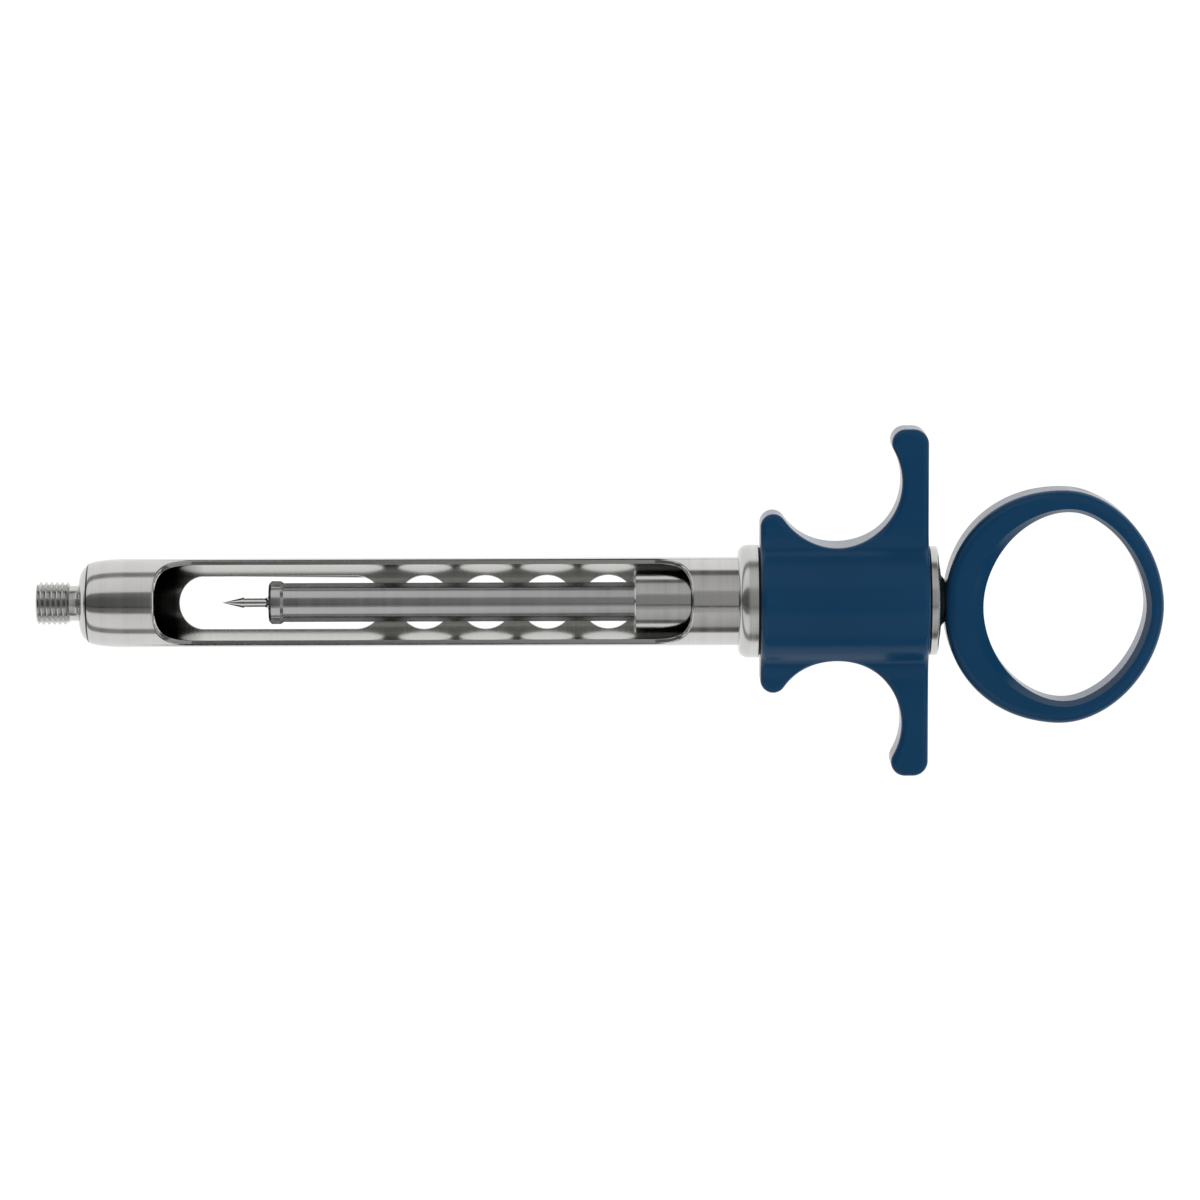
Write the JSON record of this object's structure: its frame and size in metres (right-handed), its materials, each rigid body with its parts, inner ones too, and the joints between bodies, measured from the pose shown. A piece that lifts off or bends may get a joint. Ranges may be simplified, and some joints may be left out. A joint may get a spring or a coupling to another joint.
{
  "type": "dental aspirating syringe",
  "caption": "Metal dental cartridge syringe: windowed barrel, threaded needle nose, finger grip, spring-loaded sleeve and a harpoon plunger with a thumb ring.",
  "frame": {"origin": "on the syringe axis, at the shoulder behind the needle thread", "axes": "+X along the syringe from the needle thread to the thumb ring, +Z out of the barrel's window, +Y across"},
  "size_m": [0.1569, 0.049, 0.018],
  "materials": {
    "brushed_steel": "stainless steel, brushed round the tube, satin",
    "turned_steel": "stainless steel with fine turning lines",
    "sleeve_steel": "stainless steel, finely ground",
    "rod_steel": "stainless steel, ground bright",
    "polished_steel": "polished stainless steel",
    "spring_steel": "bright spring steel",
    "blue_metal": "blue coated aluminium, glossy",
    "black_seal": "matt black elastomer",
    "white_bush": "low-friction polymer"
  },
  "bodies": {
    "barrel_and_grip": {"needle_adaptor": "turned_steel", "barrel": "brushed_steel", "barrel_collar": "turned_steel", "front_washer": "black_seal", "finger_grip": "blue_metal", "rear_washer": "black_seal", "rear_nut": "turned_steel", "rod_bush": "white_bush", "friction_oring": "black_seal", "oring_retainer": "turned_steel", "spring_seat": "turned_steel", "sleeve_spring": "spring_steel", "sleeve_guide": "turned_steel"},
    "sleeve": {"guide_sleeve": "sleeve_steel", "sleeve_clip": "spring_steel"},
    "plunger": {"plunger_rod": "rod_steel", "plunger_head": "rod_steel", "harpoon": "polished_steel"},
    "ring": {"thumb_ring": "blue_metal", "buffer_washer": "black_seal"}
  },
  "joints": [
    {"name": "plunger_slide", "type": "slide", "parent": "barrel_and_grip", "child": "plunger", "axis": [1, 0, 0], "range_m": [0, 0.0583]},
    {"name": "ring_turn", "type": "hinge", "parent": "plunger", "child": "ring", "pos_m": [0.1225, 0, 0], "axis": [1, 0, 0], "continuous": true},
    {"name": "sleeve_slide", "type": "slide", "parent": "barrel_and_grip", "child": "sleeve", "axis": [1, 0, 0], "range_m": [0, 0.0081], "stiffness_N_per_m": 370, "springref_m": -0.0054, "deforming": ["sleeve_spring"]}
  ]
}
